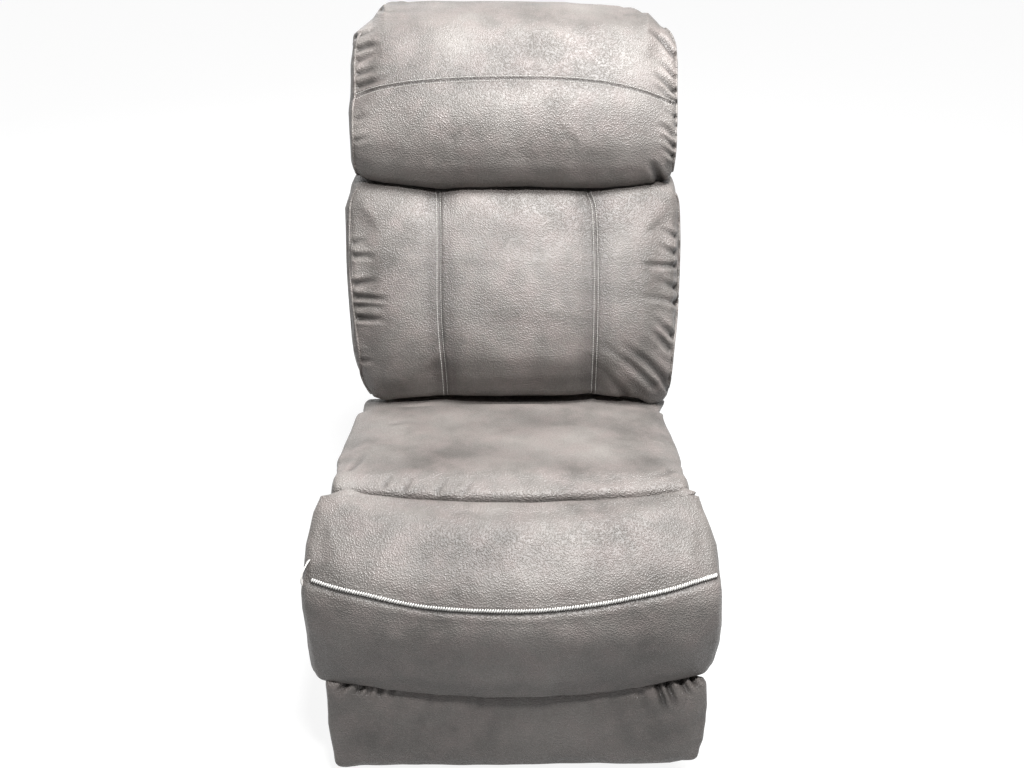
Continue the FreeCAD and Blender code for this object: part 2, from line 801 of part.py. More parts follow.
def rounded_levels(low, high, round_low, round_high, steps):
    """Heights through a cushion, and how far its outline is drawn in at each."""
    levels = []
    for turn in (0, 35, 65):
        levels.append((low + round_low * (1 - cos(radians(turn))), round_low * (1 - sin(radians(turn)))))
    first, last = low + round_low, high - round_high
    levels += [(first + (last - first) * step / steps, 0.0) for step in range(steps + 1)]
    for turn in (65, 35, 0):
        levels.append((high - round_high * (1 - cos(radians(turn))), round_high * (1 - sin(radians(turn)))))
    return levels


def cushion_wire(level, half, front, rear, bow, seams=(), seam_depth=0.0, side_bow=10.0):
    """A level slice of an upright cushion: flat rear, bowed sides and a front of crowned panels."""
    edge = half - side_bow
    corner = front + bow
    bounds = [-edge, *seams, edge]

    def at_front(x, depth):
        return V(x, front + bow * (x / edge) ** 2 + depth, level)

    corners = [at_front(-edge, 0)] + [at_front(x, seam_depth) for x in seams] + [at_front(edge, 0)]
    edges = []
    for index in range(len(bounds) - 1):
        x = (bounds[index] + bounds[index + 1]) / 2
        edges.append(Part.Arc(corners[index], at_front(x, 0), corners[index + 1]).toShape())
    side = (corner + rear) / 2
    rear_right, rear_left = V(edge, rear, level), V(-edge, rear, level)
    edges.append(Part.Arc(corners[-1], V(half, side, level), rear_right).toShape())
    edges.append(Part.makeLine(rear_right, rear_left))
    edges.append(Part.Arc(rear_left, V(-half, side, level), corners[0]).toShape())
    return Part.Wire(edges)


def above(low, profile, start=0.0, sign=1):
    """A profile measured from a piece's low edge, as (height, value) keys for smooth."""
    return [(low + rise, start + sign * value) for rise, value in profile]


def back_plane(level, cover=0.0):
    """The rear of the back's cushions at a height, just in front of the springs or of their clips."""
    return hinge[0] + (level - hinge[1]) * tan(radians(lean)) - (wire + cover + soft_gap) / cos(radians(lean))


def upright_cushion(levels, half_keys, front_keys, rear_at, bow, **panels):
    wires = []
    for level, inset in levels:
        half = smooth(half_keys, level) - inset
        front = smooth(front_keys, level) + inset
        wires.append(cushion_wire(level, half, front, rear_at(level), bow, **panels))
    return Part.makeLoft(wires, True, True)


def back_cushion():
    levels = rounded_levels(back_low, back_high, round_low=14, round_high=20, steps=8)
    return upright_cushion(levels, above(back_low, back_sides, back_half, -1), above(back_low, back_fronts),
                           back_plane, back_bow, seams=(-channel_at, channel_at), seam_depth=channel_depth)


def headrest_cushion():
    """The headrest, whose top folds back over the frame."""
    frame_top_z = on_back(-wire - clip_cover, post_top)[1] + head_wrap_gap
    over = on_back(post_depth + shell_thick, post_top)[0] - head_wrap_short

    def rear_at(level):
        return back_plane(level, clip_cover) if level <= frame_top_z else over

    levels = rounded_levels(head_low, head_high, round_low=22, round_high=46, steps=7)
    levels = sorted(levels + [(frame_top_z, 0.0), (frame_top_z + head_wrap_step, 0.0)])
    return upright_cushion(levels, above(head_low, head_sides, head_half, -1), above(head_low, head_fronts),
                           rear_at, head_bow)


def front_bolster():
    """The rolled front of the seat: it hangs before the frame and laps over its front rail."""
    lap = spring_top + soft_gap
    hang = frame_front - front_board_thick - soft_gap

    def rear_at(level):
        return hang if level <= lap else bolster_back

    levels = rounded_levels(bolster_low, bolster_high, round_low=12, round_high=34, steps=9)
    levels = sorted(levels + [(lap, 0.0), (lap + bolster_lap_step, 0.0)])
    return upright_cushion(levels, above(bolster_low, bolster_sides, bolster_half, -1),
                           above(bolster_low, bolster_setbacks, bolster_front), rear_at, bolster_bow)


def footrest_pad():
    rear = board_back - board_thick - soft_gap
    levels = rounded_levels(pad_low, pad_high, round_low=14, round_high=8, steps=3)
    return upright_cushion(levels, above(pad_low, pad_sides, pad_half, -1),
                           above(pad_low, pad_setbacks, pad_front), lambda level: rear, pad_bow,
                           side_bow=pad_side_bow)


def seat_cushion():
    """The seat, as upright slices across it from front to rear, and its low tail under the back."""
    length = seat_rear - seat_front
    rows = []
    for step, drop in seat_slices:
        top = seat_front_top + (seat_rear_top - seat_front_top) * step - drop
        half = seat_half_front + (seat_half_rear - seat_half_front) * step - drop / 2
        rows.append((seat_front + length * step, half, top))
    rows.append((seat_rear, seat_half_rear - 4, (seat_rear_top + seat_tail_top) / 2))
    rows.append((seat_rear + seat_tail_step, seat_half_rear - 6, seat_tail_top))
    rows.append((seat_tail, seat_half_rear - 10, seat_tail_top - 4))
    wires = []
    for y, half, top in rows:
        edge = half - 8
        shoulder = top - seat_crown
        low_left, low_right = V(-edge, y, seat_low), V(edge, y, seat_low)
        high_left, high_right = V(-edge, y, shoulder), V(edge, y, shoulder)
        middle_z = (seat_low + shoulder) / 2
        edges = [Part.Arc(high_left, V(0, y, top), high_right).toShape(),
                 Part.Arc(high_right, V(half, y, middle_z), low_right).toShape(),
                 Part.makeLine(low_right, low_left),
                 Part.Arc(low_left, V(-half, y, middle_z), high_left).toShape()]
        wires.append(Part.Wire(edges))
    return Part.makeLoft(wires, True, True)


def make_upholstery():
    save("seat_cushion", seat_cushion())
    save("front_bolster", front_bolster())
    save("back_cushion", back_cushion())
    save("headrest_cushion", headrest_cushion())


os.makedirs("parts", exist_ok=True)
make_base()
make_swing_links()
make_seat_frame()
make_footrest()
make_release()
make_back_frame()
make_upholstery()
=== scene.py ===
import json
import math

import bpy
import numpy as np
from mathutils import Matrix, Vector
from mathutils.bvhtree import BVHTree


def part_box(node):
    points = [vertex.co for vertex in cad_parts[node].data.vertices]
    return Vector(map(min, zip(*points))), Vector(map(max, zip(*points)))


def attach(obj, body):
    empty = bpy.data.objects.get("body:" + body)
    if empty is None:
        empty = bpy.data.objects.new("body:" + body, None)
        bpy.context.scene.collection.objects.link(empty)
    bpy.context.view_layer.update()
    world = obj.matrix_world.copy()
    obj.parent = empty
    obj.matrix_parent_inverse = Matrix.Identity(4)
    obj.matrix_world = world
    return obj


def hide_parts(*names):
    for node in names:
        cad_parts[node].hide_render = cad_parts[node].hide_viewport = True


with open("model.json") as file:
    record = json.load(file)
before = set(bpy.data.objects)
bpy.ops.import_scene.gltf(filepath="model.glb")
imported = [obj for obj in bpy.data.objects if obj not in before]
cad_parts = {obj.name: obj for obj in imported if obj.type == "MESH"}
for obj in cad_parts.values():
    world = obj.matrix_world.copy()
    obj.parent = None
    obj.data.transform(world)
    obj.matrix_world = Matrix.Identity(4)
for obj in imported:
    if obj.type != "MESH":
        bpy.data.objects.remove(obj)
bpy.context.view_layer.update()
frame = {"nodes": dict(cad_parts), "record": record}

MM = 0.001
MIDDLE = 0.00715            # x of the seat's plane of symmetry
CAMERA = Vector((0.0, -2.1175, 1.628))
PITCH = math.radians(27.91)
LENS_PX = 1402.1
PICTURE = (1024, 768)
SENSOR_WIDTH = 36.0


# Meshes as arrays

def link(name, mesh):
    obj = bpy.data.objects.new(name, mesh)
    bpy.context.scene.collection.objects.link(obj)
    return obj


def points(mesh):
    flat = np.empty(len(mesh.vertices) * 3, np.float32)
    mesh.vertices.foreach_get("co", flat)
    return flat.reshape(-1, 3).astype(np.float64)


def move_to(mesh, places):
    mesh.vertices.foreach_set("co", places.astype(np.float32).ravel())
    mesh.update()


def normals(mesh):
    flat = np.empty(len(mesh.vertices) * 3, np.float32)
    mesh.vertex_normals.foreach_get("vector", flat)
    return flat.reshape(-1, 3).astype(np.float64)


def edges(mesh):
    flat = np.empty(len(mesh.edges) * 2, np.int32)
    mesh.edges.foreach_get("vertices", flat)
    return flat.reshape(-1, 2)


def relax(mesh, rounds):
    """Each round moves every point halfway to the middle of its neighbours."""
    pairs = edges(mesh)
    places = points(mesh)
    count = np.bincount(pairs.ravel(), minlength=len(places)).astype(np.float64)
    count[count == 0] = 1
    for _ in range(rounds):
        total = np.empty_like(places)
        for axis in range(3):
            total[:, axis] = (
                np.bincount(pairs[:, 0], places[pairs[:, 1], axis], len(places))
                + np.bincount(pairs[:, 1], places[pairs[:, 0], axis], len(places)))
        places += 0.5 * (total / count[:, None] - places)
    move_to(mesh, places)


def settle(obj):
    """Applies every modifier."""
    graph = bpy.context.evaluated_depsgraph_get()
    mesh = bpy.data.meshes.new_from_object(obj.evaluated_get(graph))
    old = obj.data
    obj.modifiers.clear()
    obj.data = mesh
    bpy.data.meshes.remove(old)


def remesh(obj, voxel):
    step = obj.modifiers.new("Voxels", "REMESH")
    step.mode = "VOXEL"
    step.voxel_size = voxel
    settle(obj)


def subdivide(obj, levels=1):
    step = obj.modifiers.new("Smooth", "SUBSURF")
    step.levels = levels
    step.render_levels = levels
    settle(obj)


def smooth_shading(obj):
    obj.data.polygons.foreach_set("use_smooth", [True] * len(obj.data.polygons))
    obj.data.update()


def tree_of(mesh):
    corners = [tuple(p) for p in points(mesh)]
    faces = [tuple(f.vertices) for f in mesh.polygons]
    return BVHTree.FromPolygons(corners, faces)


def in_picture(places):
    """Across and down in the picture, and the depth."""
    away = places - np.array(CAMERA)
    cos, sin = math.cos(PITCH), math.sin(PITCH)
    depth = away[:, 1] * cos - away[:, 2] * sin
    across = PICTURE[0] / 2 + LENS_PX * away[:, 0] / depth
    down = PICTURE[1] / 2 - LENS_PX * (away[:, 1] * sin + away[:, 2] * cos) / depth
    return across, down, depth


class Surface:
    """A piece's surface, and the middle of where the picture shows it."""

    def __init__(self, mesh):
        self.tree = tree_of(mesh)
        across, down, _ = in_picture(points(mesh))
        self.middle = ((across.min() + across.max()) / 2, (down.min() + down.max()) / 2)


def fit_outline(mesh, rows, most=24.0, band=4.0):
    """Widens or narrows the piece row by row until its sides lie where the picture shows them.
    rows holds (down, left, right) in the picture."""
    places = points(mesh)
    across, down, depth = in_picture(places)
    rows = np.array(rows, float)
    first = rows[0, 0]
    count = int((rows[-1, 0] - first) / band) + 1
    index = np.clip(((down - first) / band).round().astype(int), 0, count - 1)
    left, right = np.full(count, 1e9), np.full(count, -1e9)
    np.minimum.at(left, index, across)
    np.maximum.at(right, index, across)
    kernel = np.array([1, 2, 3, 2, 1]) / 9
    left = np.convolve(np.pad(left, 2, "edge"), kernel, "valid")
    right = np.convolve(np.pad(right, 2, "edge"), kernel, "valid")
    at = first + band * np.arange(count)
    push_left = np.clip(np.interp(at, rows[:, 0], rows[:, 1]) - left, -most, most)
    push_right = np.clip(np.interp(at, rows[:, 0], rows[:, 2]) - right, -most, most)
    old_left, old_right = np.interp(down, at, left), np.interp(down, at, right)
    share = (across - old_left) / (old_right - old_left)
    across += (1 - share) * np.interp(down, at, push_left) + share * np.interp(down, at, push_right)
    places[:, 0] = (across - PICTURE[0] / 2) / LENS_PX * depth
    move_to(mesh, places)


def fit_edge(mesh, spots, reach, most=16.0, band=12.0, upper=False):
    """Lowers or lifts the piece's lower or upper edge until it lies where the picture shows it.
    spots holds (across, down); the move dies out over reach, in picture pixels, from the edge."""
    spots = np.array(spots, float)
    first = spots[0, 0]
    count = int((spots[-1, 0] - first) / band) + 1
    at = first + band * np.arange(count)
    wanted = np.interp(at, spots[:, 0], spots[:, 1])
    for _ in range(3):
        places = points(mesh)
        across, down, depth = in_picture(places)
        index = np.clip(((across - first) / band).round().astype(int), 0, count - 1)
        if upper:
            edge = np.full(count, 1e9)
            np.minimum.at(edge, index, down)
        else:
            edge = np.full(count, -1e9)
            np.maximum.at(edge, index, down)
        kernel = np.array([1, 2, 1]) / 4
        edge = np.convolve(np.pad(edge, 1, "edge"), kernel, "valid")
        push = np.interp(across, at, np.clip(wanted - edge, -most, most))
        inside = np.abs(down - np.interp(across, at, edge))
        push *= 1 - step_up(0, reach, inside)
        places[:, 2] -= push * depth / LENS_PX / math.cos(PITCH)
        move_to(mesh, places)


def step_up(low, high, value):
    t = np.clip((value - low) / (high - low), 0, 1)
    return t * t * (3 - 2 * t)


# Places on a piece, given where the photograph shows them

def ray(px, py):
    side = (px - PICTURE[0] / 2) / LENS_PX
    up = (PICTURE[1] / 2 - py) / LENS_PX
    cos, sin = math.cos(PITCH), math.sin(PITCH)
    return Vector((side, cos + up * sin, up * cos - sin)).normalized()


def seen(surface, px, py):
    """The point of the piece at this place in the picture, moved inwards when it lies outside."""
    away_x, away_y = surface.middle[0] - px, surface.middle[1] - py
    length = math.hypot(away_x, away_y)
    for inwards in np.arange(0, 60, 0.4):
        share = inwards / length
        hit, normal, _, _ = surface.tree.ray_cast(CAMERA, ray(px + share * away_x, py + share * away_y))
        if hit is not None:
            return hit, normal
    raise ValueError(f"nothing seen near {px:.0f}, {py:.0f}")


def curve_through(corners, count):
    """A smooth curve through the given corners, evenly spaced."""
    corners = np.array(corners, float)
    before = 2 * corners[0] - corners[1]
    after = 2 * corners[-1] - corners[-2]
    all_corners = np.vstack([before, corners, after])
    fine = []
    for a, b, c, d in zip(all_corners, all_corners[1:], all_corners[2:], all_corners[3:]):
        for t in np.linspace(0, 1, 24, endpoint=False):
            fine.append(0.5 * (2 * b + (c - a) * t + (2 * a - 5 * b + 4 * c - d) * t * t
                               + (3 * b - a - 3 * c + d) * t ** 3))
    fine.append(corners[-1])
    fine = np.array(fine)
    run = np.concatenate([[0], np.cumsum(np.linalg.norm(np.diff(fine, axis=0), axis=1))])
    at = np.linspace(0, run[-1], count)
    return np.column_stack([np.interp(at, run, fine[:, k]) for k in range(fine.shape[1])])


def line_on(surface, corners, count):
    """The same curve laid on the piece, as places and normals. Its corners are places in the picture."""
    hits = [seen(surface, *spot) for spot in curve_through(corners, count)]
    return np.array([h[0] for h in hits]), np.array([h[1] for h in hits])


# Folds, seams and channels

def distance_to(places, line):
    """Distance from each place to the line, and how far along the line that is, from 0 to 1."""
    run = np.concatenate([[0], np.cumsum(np.linalg.norm(np.diff(line, axis=0), axis=1))])
    best = np.full(len(places), 1e9)
    along = np.zeros(len(places))
    for k in range(len(line) - 1):
        a, b = line[k], line[k + 1]
        length = max(np.dot(b - a, b - a), 1e-12)
        t = np.clip((places - a) @ (b - a) / length, 0, 1)
        gap = np.linalg.norm(places - (a + t[:, None] * (b - a)), axis=1)
        nearer = gap < best
        best[nearer] = gap[nearer]
        along[nearer] = (run[k] + t[nearer] * (run[k + 1] - run[k])) / max(run[-1], 1e-9)
    return best, along


def near(places, line, reach):
    low, high = line.min(0) - reach, line.max(0) + reach
    return np.where(((places >= low) & (places <= high)).all(1))[0]


FOLD_DEPTH = 1.05
FOLD_WIDTH = 1.2


class Sculpt:
    """Collects pushes along the normal and marks how deep in a fold each point lies; the cloth material turns
    that mark into painted shade in the valleys and painted highlight on the banks.
    """

    def __init__(self, obj):
        self.obj = obj
        self.places = points(obj.data)
        self.normals = normals(obj.data)
        self.push = np.zeros(len(self.places))
        self.surface = Surface(obj.data)

    def fold(self, corners, depth, width, ridge=0.4, fade=0.8, lead=0.04):
        """A crease that is deepest at its first corner and dies out at its last."""
        line, _ = line_on(self.surface, corners, 12)
        depth, width = depth * FOLD_DEPTH, width * FOLD_WIDTH
        reach = width * 4
        some = near(self.places, line, reach)
        gap, along = distance_to(self.places[some], line)
        strength = np.clip(1 - along, 0, 1) ** fade * step_up(-0.001, lead, along + lead * 0.5)
        valley = np.exp(-(gap / width) ** 2)
        bank = np.exp(-((gap - 1.9 * width) / width) ** 2)
        self.push[some] += depth * strength * (ridge * bank - valley)

    def folds(self, creases):
        """Several folds, each as (corners, depth, width) with depth and width in millimetres."""
        for corners, depth, width in creases:
            self.fold(corners, depth * MM, width * MM)

    def seam(self, corners, depth, width, puff=0.3, count=90):
        """A sewn line: a narrow groove with the cloth standing a little proud on both sides."""
        line, _ = line_on(self.surface, corners, count)
        some = near(self.places, line, width * 8)
        gap, _ = distance_to(self.places[some], line)
        valley = np.exp(-(gap / width) ** 2)
        bank = np.exp(-((gap - 3.2 * width) / (2.2 * width)) ** 2)
        self.push[some] += depth * (puff * bank - valley)
        return line

    def channel(self, corners, depth, width, count=60):
        """A broad dip, such as the one that a sewn line draws into the padding."""
        line, _ = line_on(self.surface, corners, count)
        some = near(self.places, line, width * 3)
        gap, _ = distance_to(self.places[some], line)
        self.push[some] -= depth * np.exp(-(gap / width) ** 2)

    def ripple(self, amount, size, seed):
        """Slow unevenness of the padding under the cloth."""
        self.push += amount * waves(self.places, size, seed)

    def done(self):
        move_to(self.obj.data, self.places + self.normals * self.push[:, None])
        # The crease attribute feeds painted shade in the fold valleys and painted highlight on the raised
        # banks of the cloth material.
        mark = self.obj.data.attributes.new("crease", "FLOAT", "POINT")
        mark.data.foreach_set("value", np.clip(-self.push / (4 * MM), -1, 1).astype(np.float32))


def waves(places, size, seed, count=14):
    """A smooth random field between about -1 and 1, made of plane waves."""
    rng = np.random.default_rng(seed)
    total = np.zeros(len(places))
    for _ in range(count):
        direction = rng.normal(size=3)
        direction /= np.linalg.norm(direction)
        step = 2 * math.pi / (size * rng.uniform(0.7, 1.8))
        total += np.sin(places @ direction * step + rng.uniform(0, 2 * math.pi))
    return total / math.sqrt(count) * 0.8


# Simulation

class Stuffing:
    """A copy of the solid, set in a little, blown up as cloth and kept close to the solid."""

    def __init__(self, name, node, voxel, inset, limit, meets, pressure=4.0, soften=5):
        self.obj = link(name, frame["nodes"][node].data.copy())
        self.obj.data.materials.clear()
        self.limit = limit
        self.meets = meets
        remesh(self.obj, voxel)
        relax(self.obj.data, soften)
        self.solid = points(self.obj.data)
        self.facing = normals(self.obj.data)
        move_to(self.obj.data, self.solid - self.facing * inset)
        cloth = self.obj.modifiers.new("Cloth", "CLOTH")
        cloth.settings.quality = 4
        cloth.settings.mass = 0.3
        cloth.settings.use_pressure = True
        cloth.settings.uniform_pressure_force = pressure
        cloth.settings.effector_weights.gravity = 0
        cloth.collision_settings.use_collision = False

    def finished(self):
        """Applies the cloth, caps how far each point moved, and clears the faces that meet neighbours."""
        settle(self.obj)
        moved = points(self.obj.data) - self.solid
        length = np.linalg.norm(moved, axis=1)
        moved /= (1 + length / self.limit)[:, None]
        out = np.sum(moved * self.facing, axis=1)
        touching = self.meets(self.facing)
        moved -= (touching * (np.maximum(out, -1.0 * MM) + 1.0 * MM))[:, None] * self.facing
        move_to(self.obj.data, self.solid + moved)
        subdivide(self.obj)
        smooth_shading(self.obj)
        return self.obj


# Thread, piping and straps

def build(name, corners, faces):
    mesh = bpy.data.meshes.new(name)
    mesh.from_pydata([tuple(c) for c in corners], [], faces)
    mesh.validate()
    mesh.update()
    obj = link(name, mesh)
    smooth_shading(obj)
    return obj


def ring_faces(rings, sides):
    """Faces of a tube with closed ends, whose corners are listed ring by ring."""
    faces = []
    for ring in range(rings - 1):
        for k in range(sides):
            a, b = ring * sides + k, ring * sides + (k + 1) % sides
            faces.append((a, b, b + sides, a + sides))
    faces.append(tuple(reversed(range(sides))))
    last = (rings - 1) * sides
    faces.append(tuple(last + k for k in range(sides)))
    return faces


def tube_parts(line, radii, sides, squash=None):
    """Corners and faces of a closed tube along the line. squash is (normals, share) to flatten it."""
    line = np.array(line, float)
    ahead = np.gradient(line, axis=0)
    ahead /= np.linalg.norm(ahead, axis=1)[:, None]
    if squash is None:
        up = np.array([0.0, 0.0, 1.0])
        if abs(ahead[0] @ up) > 0.9:
            up = np.array([0.0, 1.0, 0.0])
        ups = []
        for direction in ahead:
            up = up - direction * (up @ direction)
            up /= np.linalg.norm(up)
            ups.append(up)
        ups = np.array(ups)
        flat = 1.0
    else:
        ups, flat = squash
        ups = ups - ahead * np.sum(ups * ahead, axis=1)[:, None]
        ups /= np.linalg.norm(ups, axis=1)[:, None]
    across = np.cross(ahead, ups)
    corners = []
    turn = np.linspace(0, 2 * math.pi, sides, endpoint=False)
    for place, u, a, radius in zip(line, ups, across, radii):
        for angle in turn:
            corners.append(place + radius * (math.cos(angle) * a + flat * math.sin(angle) * u))
    return corners, ring_faces(len(line), sides)


def joined_tubes(name, tubes):
    corners, faces = [], []
    for more_corners, more_faces in tubes:
        start = len(corners)
        corners += more_corners
        faces += [tuple(start + k for k in face) for face in more_faces]
    return build(name, corners, faces)


def capsule(middle, along, out, length, radius):
    along = along / np.linalg.norm(along)
    share = np.array([-0.5, -0.42, -0.22, 0, 0.22, 0.42, 0.5])
    line = middle + np.outer(share * length, along) - np.outer((share * 2) ** 4 * radius, out)
    radii = radius * np.array([0.25, 0.75, 1, 1, 1, 0.75, 0.25])
    return tube_parts(line, radii, 6, (np.tile(out, (len(line), 1)), 0.8))


def stitches(surface, corners, offset, pitch, length, radius, slant=0.0, lift=0.3):
    """Threads along a seam, offset to one side in picture pixels, each lying on the cloth."""
    path = curve_through(corners, 260)
    ahead = np.gradient(path, axis=0)
    ahead /= np.linalg.norm(ahead, axis=1)[:, None]
    shifted = path + np.column_stack([-ahead[:, 1], ahead[:, 0]]) * offset
    line, outs = line_on(surface, shifted, 260)
    run = np.concatenate([[0], np.cumsum(np.linalg.norm(np.diff(line, axis=0), axis=1))])
    made = []
    for at in np.arange(pitch, run[-1] - pitch, pitch):
        place = np.array([np.interp(at, run, line[:, k]) for k in range(3)])
        out = np.array([np.interp(at, run, outs[:, k]) for k in range(3)])
        out /= np.linalg.norm(out)
        next_place = np.array([np.interp(at + 0.5 * pitch, run, line[:, k]) for k in range(3)])
        along = next_place - place
        along -= out * (along @ out)
        along /= np.linalg.norm(along)
        along = along * math.cos(slant) + np.cross(out, along) * math.sin(slant)
        made.append(capsule(place + out * radius * lift, along, out, length, radius))
    return made


def piping(surface, corners, radius, count=140, sink=0.35):
    line, outs = line_on(surface, corners, count)
    for _ in range(6):
        line[1:-1] = (line[:-2] + 2 * line[1:-1] + line[2:]) / 4
    line = line + outs * radius * (1 - 2 * sink)
    radii = np.full(len(line), radius)
    radii[0] = radii[-1] = radius * 0.5
    return tube_parts(line, radii, 10)


# Materials

def material(name):
    made = bpy.data.materials.new(name)
    made.use_nodes = True
    return made, made.node_tree, made.node_tree.nodes["Principled BSDF"]


def noise(tree, coords, scale, detail=2.0, roughness=0.5, stretch=None):
    node = tree.nodes.new("ShaderNodeTexNoise")
    node.inputs["Scale"].default_value = scale
    node.inputs["Detail"].default_value = detail
    node.inputs["Roughness"].default_value = roughness
    if stretch:
        mapping = tree.nodes.new("ShaderNodeMapping")
        mapping.inputs["Scale"].default_value = stretch
        tree.links.new(coords, mapping.inputs["Vector"])
        coords = mapping.outputs["Vector"]
    tree.links.new(coords, node.inputs["Vector"])
    return node.outputs["Fac"]


def between(tree, value, low, high, out_low=0.0, out_high=1.0):
    node = tree.nodes.new("ShaderNodeMapRange")
    node.inputs["From Min"].default_value = low
    node.inputs["From Max"].default_value = high
    node.inputs["To Min"].default_value = out_low
    node.inputs["To Max"].default_value = out_high
    tree.links.new(value, node.inputs["Value"])
    return node.outputs["Result"]


def mixed(tree, share, first, second, kind="MIX"):
    node = tree.nodes.new("ShaderNodeMix")
    node.data_type = "RGBA"
    node.blend_type = kind
    if isinstance(share, float):
        node.inputs[0].default_value = share
    else:
        tree.links.new(share, node.inputs[0])
    for socket, value in ((node.inputs[6], first), (node.inputs[7], second)):
        if isinstance(value, tuple):
            socket.default_value = (*value, 1.0)
        else:
            tree.links.new(value, socket)
    return node.outputs[2]


def bump(tree, shader, height, strength, distance, before=None):
    node = tree.nodes.new("ShaderNodeBump")
    node.inputs["Strength"].default_value = strength
    node.inputs["Distance"].default_value = distance
    tree.links.new(height, node.inputs["Height"])
    if before is not None:
        tree.links.new(before, node.inputs["Normal"])
    tree.links.new(node.outputs["Normal"], shader.inputs["Normal"])
    return node.outputs["Normal"]


def coords_of(tree):
    return tree.nodes.new("ShaderNodeTexCoord").outputs["Object"]


def upholstery(name, light, dark, grain=1.0, creases=True):
    """Taupe suede-like cloth: cloudy colour, a fine pebble, a soft shine, and painted shade in the folds with
    painted highlight on their banks.
    """
    made, tree, shader = material(name)
    coords = coords_of(tree)
    clouds = noise(tree, coords, 7.0, 4.0, 0.62)
    blotches = noise(tree, coords, 24.0, 3.0, 0.6)
    fibres = noise(tree, coords, 700.0, 2.0, 0.6)
    cells = tree.nodes.new("ShaderNodeTexVoronoi")
    cells.feature = "SMOOTH_F1"
    cells.inputs["Scale"].default_value = 390.0
    cells.inputs["Smoothness"].default_value = 0.35
    tree.links.new(coords, cells.inputs["Vector"])
    pits = cells.outputs["Distance"]
    base = mixed(tree, between(tree, clouds, 0.34, 0.66), dark, light)
    pink = tuple(c * k for c, k in zip(light, (1.04, 0.96, 0.97)))
    base = mixed(tree, between(tree, blotches, 0.42, 0.68, 0.0, 0.6), base, pink)
    speckle = between(tree, pits, 0.15, 0.62, 1.0 + 0.04 * grain, 1.0 - 0.14 * grain)
    shade = tree.nodes.new("ShaderNodeVectorMath")
    shade.operation = "SCALE"
    tree.links.new(base, shade.inputs[0])
    tree.links.new(speckle, shade.inputs["Scale"])
    colour = shade.outputs["Vector"]
    # Painted shade and painted highlight: the crease fold-depth mark darkens the colour down to half in fold
    # valleys and lightens it by up to 12 % on the raised banks beside them.
    if creases:
        mark = tree.nodes.new("ShaderNodeAttribute")
        mark.attribute_name = "crease"
        deep = between(tree, mark.outputs["Fac"], -0.4, 0.8, 1.12, 0.50)
        fold_shade_and_highlight = tree.nodes.new("ShaderNodeVectorMath")
        fold_shade_and_highlight.operation = "SCALE"
        tree.links.new(colour, fold_shade_and_highlight.inputs[0])
        tree.links.new(deep, fold_shade_and_highlight.inputs["Scale"])
        colour = fold_shade_and_highlight.outputs["Vector"]
    tree.links.new(colour, shader.inputs["Base Color"])
    tree.links.new(between(tree, pits, 0.1, 0.6, 0.30, 0.53), shader.inputs["Roughness"])
    shader.inputs["Specular IOR Level"].default_value = 0.58
    shader.inputs["Sheen Weight"].default_value = 0.03
    pebbled = bump(tree, shader, between(tree, pits, 0.05, 0.65, 1.0, 0.0), 0.75 * grain, 0.0012)
    bump(tree, shader, fibres, 0.35 * grain, 0.0005, pebbled)
    return made


def steel(name, colour, roughness, metallic=1.0):
    made, tree, shader = material(name)
    coords = coords_of(tree)
    wear = noise(tree, coords, 60.0, 5.0, 0.7)
    fine = noise(tree, coords, 900.0, 2.0, 0.5)
    darker = tuple(c * 0.72 for c in colour)
    base = mixed(tree, between(tree, wear, 0.35, 0.7), colour, darker)
    tree.links.new(base, shader.inputs["Base Color"])
    rough = between(tree, wear, 0.3, 0.75, roughness * 0.85, roughness * 1.2)
    tree.links.new(rough, shader.inputs["Roughness"])
    shader.inputs["Metallic"].default_value = metallic
    bump(tree, shader, fine, 0.08, 0.0003)
    return made


def timber(name, light, dark, plies=False):
    """Planed wood with its grain along x, or plywood with its plies lying flat."""
    made, tree, shader = material(name)
    coords = coords_of(tree)
    stretch = (3, 60, 60)
    grain = noise(tree, coords, 1.0, 6.0, 0.65, stretch)
    fine = noise(tree, coords, 6.0, 3.0, 0.6, stretch)
    base = mixed(tree, between(tree, grain, 0.35, 0.7), light, dark)
    if plies:
        wave = noise(tree, coords, 1.0, 0.0, 0.0, (1, 1, 700))
        base = mixed(tree, between(tree, wave, 0.48, 0.52, 0.0, 0.25), base, dark)
    tree.links.new(base, shader.inputs["Base Color"])
    tree.links.new(between(tree, fine, 0.3, 0.7, 0.55, 0.75), shader.inputs["Roughness"])
    bump(tree, shader, fine, 0.2, 0.0006)
    return made


def plastic(name, colour, roughness):
    made, tree, shader = material(name)
    coords = coords_of(tree)
    scuff = noise(tree, coords, 150.0, 4.0, 0.6)
    lighter = tuple(c * 1.8 + 0.01 for c in colour)
    base = mixed(tree, between(tree, scuff, 0.4, 0.8, 0.0, 0.5), colour, lighter)
    tree.links.new(base, shader.inputs["Base Color"])
    shader.inputs["Roughness"].default_value = roughness
    bump(tree, shader, scuff, 0.1, 0.0004)
    return made


def yarn(name, colour, scale=1500.0):
    made, tree, shader = material(name)
    coords = coords_of(tree)
    twist = noise(tree, coords, scale, 2.0, 0.6)
    darker = tuple(c * 0.7 for c in colour)
    base = mixed(tree, between(tree, twist, 0.3, 0.7), darker, colour)
    tree.links.new(base, shader.inputs["Base Color"])
    shader.inputs["Roughness"].default_value = 0.6
    shader.inputs["Sheen Weight"].default_value = 0.3
    bump(tree, shader, twist, 0.4, 0.0004)
    return made


